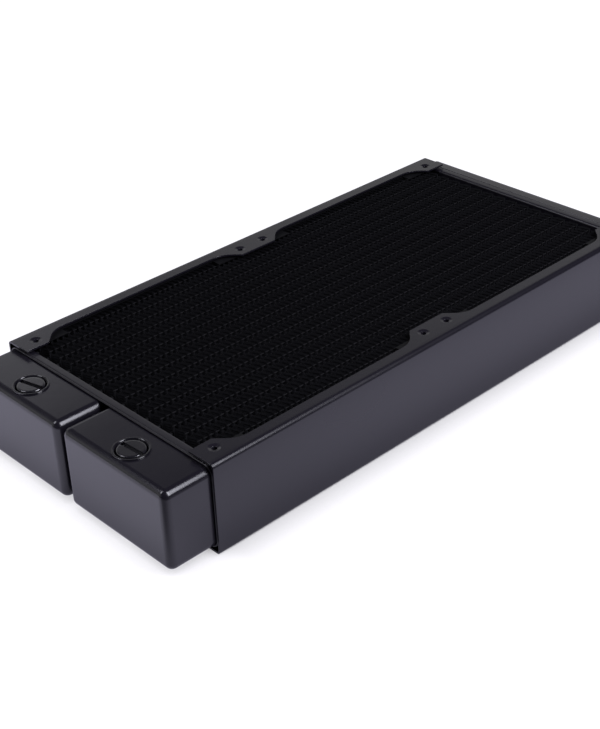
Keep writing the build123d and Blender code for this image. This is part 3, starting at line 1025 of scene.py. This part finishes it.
def make_floor(look):
    """A large, flat, pale floor that glows from below, like a light table; its glow is painted light.

    What the paint reflects is a painted pool of light: a glow that is strong beside the port
    tanks, weaker in a band along the rails, weaker still at the rails' port end and foot (painted
    shade), weakest off the near corner, and gone in front of the band. It dims, as painted shade,
    in proportion to how much of the sky a wall hides. The camera sees a nearly white floor
    instead, which a ramp over the open sky's share darkens beside the walls as a painted contact
    shadow, less so by the port tanks.
    """
    mesh = bpy.data.meshes.new("floor")
    reach = 4.0
    mesh.from_pydata([(-reach, -reach, 0), (reach, -reach, 0), (reach, reach, 0), (-reach, reach, 0)], [],
                     [(0, 1, 2, 3)])
    floor = placed("floor", mesh)
    material = painted("floor_white", look.floor, 0.7, bump=0.0, scales=(400.0, 120.0, 3.0))
    mesh.materials.append(material)
    tree = material.node_tree
    place = node(tree, "ShaderNodeTexCoord")
    parts = node(tree, "ShaderNodeSeparateXYZ", Vector=place.outputs["Object"])
    zone = SimpleNamespace(**{name: floor_zone(tree, parts, *values) for name, values in FLOOR_ZONES.items()})

    # painted shade: the glow drops next to the rails' foot and towards their port end
    foot = times(tree, times(tree, zone.foot_front, zone.foot_back), zone.foot_end)
    glow = times(tree, times(tree, zone.right, zone.band), look.glow)
    glow = times(tree, glow, times(tree, foot, -look.foot, 1.0))
    glow = times(tree, glow, times(tree, zone.far, look.port_end, 1.0 - look.port_end))
    # painted light: the glow beside the port tanks and off the near corner
    outer = times(tree, zone.band, look.corner_glow)
    outer = times(tree, zone.left, look.left_glow - look.corner_glow, outer)
    lit = times(tree, times(tree, zone.right, -1.0, 1.0), outer, glow)
    # painted shade: the reflected glow dims where a wall hides the sky
    open_sky = node(tree, "ShaderNodeAmbientOcclusion", samples=6, Distance=look.contact_reach).outputs["AO"]
    reflected = times(tree, lit, times(tree, open_sky, 2 * look.contact, 1.0 - 2 * look.contact))

    # painted contact shadow on the floor the camera sees, painted lighter by the port tanks
    clear = node(tree, "ShaderNodeClamp", Value=times(tree, zone.tanks, look.tank_light, open_sky))
    seen = times(tree, grey_ramp(tree, clear.outputs["Result"], FLOOR_SHADE), look.high_key)
    camera_ray = node(tree, "ShaderNodeLightPath").outputs["Is Camera Ray"]
    shader = tree.nodes["Principled BSDF"]
    for target, kind, values in (("Emission Strength", "FLOAT", (reflected, seen)),
                                 ("Emission Color", "RGBA", (GLOW_TINT, SEEN_TINT))):
        mix = node(tree, "ShaderNodeMix", data_type=kind, Factor=camera_ray, A=values[0], B=values[1])
        tree.links.new(mix.outputs["Result"], shader.inputs[target])


def make_world():
    """White to the camera. To the paint, a dark studio with a pale backdrop low down behind.

    The backdrop's brightness follows the height of the view's direction through a ramp, and
    fades towards the front.
    """
    world = bpy.data.worlds.new("studio")
    bpy.context.scene.world = world
    world.use_nodes = True
    tree = world.node_tree
    tree.nodes.clear()
    way = node(tree, "ShaderNodeTexCoord").outputs["Generated"]
    parts = node(tree, "ShaderNodeSeparateXYZ", Vector=way)
    behind = node(tree, "ShaderNodeMapRange", Value=parts.outputs["Y"], From_Min=-0.1, From_Max=0.45,
                  To_Min=0.03)
    pale = times(tree, grey_ramp(tree, parts.outputs["Z"], BACKDROP), behind.outputs["Result"])
    mix = node(tree, "ShaderNodeMixShader", Fac=node(tree, "ShaderNodeLightPath").outputs["Is Camera Ray"])
    for target, light in zip(mix.inputs[1:], (pale, 1.0)):
        shown = node(tree, "ShaderNodeBackground", Color=WHITE, Strength=light)
        tree.links.new(shown.outputs["Background"], target)
    node(tree, "ShaderNodeOutputWorld", Surface=mix.outputs["Shader"])


def make_camera(studio):
    """A camera on a sphere round the aim, turned about its own line of sight by the roll."""
    azimuth, elevation = studio.azimuth, studio.elevation
    back = Vector((math.sin(azimuth) * math.cos(elevation), -math.cos(azimuth) * math.cos(elevation),
                   math.sin(elevation)))
    data = bpy.data.cameras.new("camera")
    data.lens = studio.lens
    data.clip_start = 0.01
    camera = placed("camera", data)
    turned = back.to_track_quat("Z", "Y").to_matrix() @ Matrix.Rotation(studio.roll, 3, "Z")
    camera.matrix_world = Matrix.Translation(Vector(studio.aim) + back * studio.distance) @ turned.to_4x4()
    bpy.context.scene.camera = camera


class RADIATOR_OT_stage(bpy.types.Operator):
    """Pale floor, soft studio light and the camera"""
    bl_idname = "radiator.stage"
    bl_label = "Stage"

    def execute(self, context):
        scene = context.scene
        for name, values in SOFTBOXES.items():
            softbox(name, *values)
        make_floor(scene.radiator_finish)
        make_world()
        make_camera(scene.radiator_studio)
        scene.view_settings.view_transform = "Standard"
        return {"FINISHED"}


# ---- panel and registration ----

OPERATORS = (RADIATOR_OT_rails, RADIATOR_OT_trays, RADIATOR_OT_tanks, RADIATOR_OT_fins, RADIATOR_OT_ports,
             RADIATOR_OT_core, RADIATOR_OT_stage)


class RADIATOR_PT_pieces(bpy.types.Panel):
    """Lists the radiator's operators and sizes"""
    bl_idname = "RADIATOR_PT_pieces"
    bl_label = "Radiator"
    bl_space_type = "VIEW_3D"
    bl_region_type = "UI"
    bl_category = "Radiator"

    def draw(self, context):
        layout = self.layout
        for operator in OPERATORS:
            layout.operator(operator.bl_idname)
        for name, group in GROUPS.items():
            box = layout.box()
            box.label(text=group.__name__)
            settings = getattr(context.scene, name)
            for key in group.__annotations__:
                box.prop(settings, key)


CLASSES = (*GROUPS.values(), *OPERATORS, RADIATOR_PT_pieces)


def register():
    for made in CLASSES:
        bpy.utils.register_class(made)
    for name, group in GROUPS.items():
        setattr(bpy.types.Scene, name, PointerProperty(type=group))


def unregister():
    for name in GROUPS:
        delattr(bpy.types.Scene, name)
    for made in reversed(CLASSES):
        bpy.utils.unregister_class(made)


def main():
    register()
    for operator in OPERATORS:
        category, name = operator.bl_idname.split(".")
        getattr(getattr(bpy.ops, category), name)()


if __name__ == "__main__":
    main()
